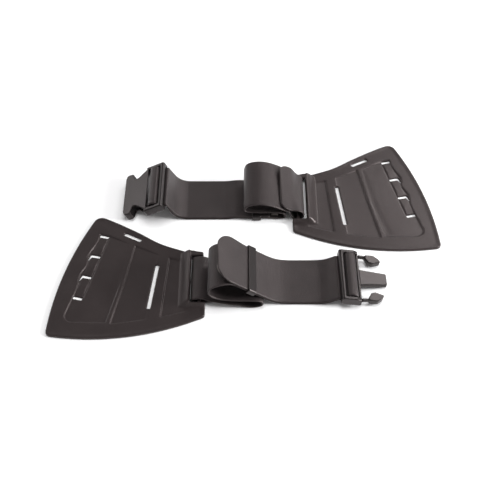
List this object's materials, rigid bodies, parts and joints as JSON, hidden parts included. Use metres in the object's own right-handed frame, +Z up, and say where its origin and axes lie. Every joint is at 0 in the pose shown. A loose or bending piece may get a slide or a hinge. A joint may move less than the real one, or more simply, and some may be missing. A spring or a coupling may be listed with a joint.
{
  "type": "knee pad strap set",
  "caption": "Pair of mirror-image slotted plastic wing plates for knee pads, each with a folded wide strap, keeper and one end of a side-release buckle.",
  "frame": {"origin": "on the surface that the pair lies on, under the middle of the pair", "axes": "+X towards the right half, +Y away from the viewer, +Z up from the surface"},
  "size_m": [0.3516, 0.2339, 0.0417],
  "materials": {
    "wing_plastic": "satin moulded flexible plastic, dark warm grey",
    "webbing": "smooth tightly woven elastic webbing, dark warm grey",
    "hook_tape": "hook fastener tape, a little lighter than the webbing",
    "buckle_plastic": "satin moulded acetal, near black"
  },
  "bodies": {
    "left_wing": {"left_wing_plate": "wing_plastic"},
    "left_strap": {"left_strap": "webbing", "left_hook_patch": "hook_tape", "left_strap_tail": "webbing"},
    "left_tab": {"left_tail_tab": "webbing", "left_tail_hook_patch": "hook_tape"},
    "left_keeper": {"left_keeper": "buckle_plastic"},
    "plug": {"left_strap_wrap": "webbing", "plug_frame": "buckle_plastic"},
    "plug_prong_far": {"plug_prong_far": "buckle_plastic"},
    "plug_prong_near": {"plug_prong_near": "buckle_plastic"},
    "right_wing": {"right_wing_plate": "wing_plastic"},
    "right_strap": {"right_strap": "webbing", "right_strap_tail": "webbing", "right_tail_hook_patch": "hook_tape"},
    "right_tab": {"right_hook_tab": "webbing", "right_hook_patch": "hook_tape"},
    "right_keeper": {"right_keeper": "buckle_plastic"},
    "socket": {"right_strap_wrap": "webbing", "socket_shell": "buckle_plastic"}
  },
  "joints": [
    {"name": "left_strap_swing", "type": "hinge", "parent": "left_wing", "child": "left_strap", "pos_m": [-0.0452, -0.05735, 0.0036], "axis": [0, -1, 0], "range_deg": [0, 60]},
    {"name": "left_tab_peel", "type": "hinge", "parent": "left_strap", "child": "left_tab", "pos_m": [-0.00586, -0.05735, 0.02374], "axis": [0, 1, 0], "range_deg": [0, 60]},
    {"name": "left_keeper_slide", "type": "slide", "parent": "left_strap", "child": "left_keeper", "axis": [0.809, 0, -0.5878], "range_m": [0, 0.0055]},
    {"name": "plug_tilt", "type": "hinge", "parent": "left_strap", "child": "plug", "pos_m": [0.07663, -0.05735, 0.00806], "axis": [0, -1, 0], "range_deg": [0, 60]},
    {"name": "prong_far_squeeze", "type": "hinge", "parent": "plug", "child": "plug_prong_far", "pos_m": [0.09769, -0.03305, 0.00693], "axis": [-0.1478, 0, -0.989], "range_deg": [0, 8], "stiffness_Nm_per_rad": 0.3},
    {"name": "prong_near_squeeze", "type": "hinge", "parent": "plug", "child": "plug_prong_near", "pos_m": [0.09769, -0.08165, 0.00693], "axis": [0.1478, 0, 0.989], "range_deg": [0, 8], "stiffness_Nm_per_rad": 0.3},
    {"name": "right_half_apart", "type": "slide", "parent": "left_wing", "child": "right_wing", "axis": [0, 1, 0], "range_m": [0, 0.06]},
    {"name": "right_strap_swing", "type": "hinge", "parent": "right_wing", "child": "right_strap", "pos_m": [0.0452, 0.04175, 0.0036], "axis": [0, 1, 0], "range_deg": [0, 35]},
    {"name": "right_tab_peel", "type": "hinge", "parent": "right_strap", "child": "right_tab", "pos_m": [0.04526, 0.04175, 0.01168], "axis": [0, 1, 0], "range_deg": [0, 60]},
    {"name": "right_keeper_slide", "type": "slide", "parent": "right_strap", "child": "right_keeper", "axis": [-1, 0, 0], "range_m": [0, 0.012]},
    {"name": "socket_tilt", "type": "hinge", "parent": "right_strap", "child": "socket", "pos_m": [-0.07797, 0.04175, 0.02065], "axis": [0, 1, 0], "range_deg": [0, 60]}
  ]
}
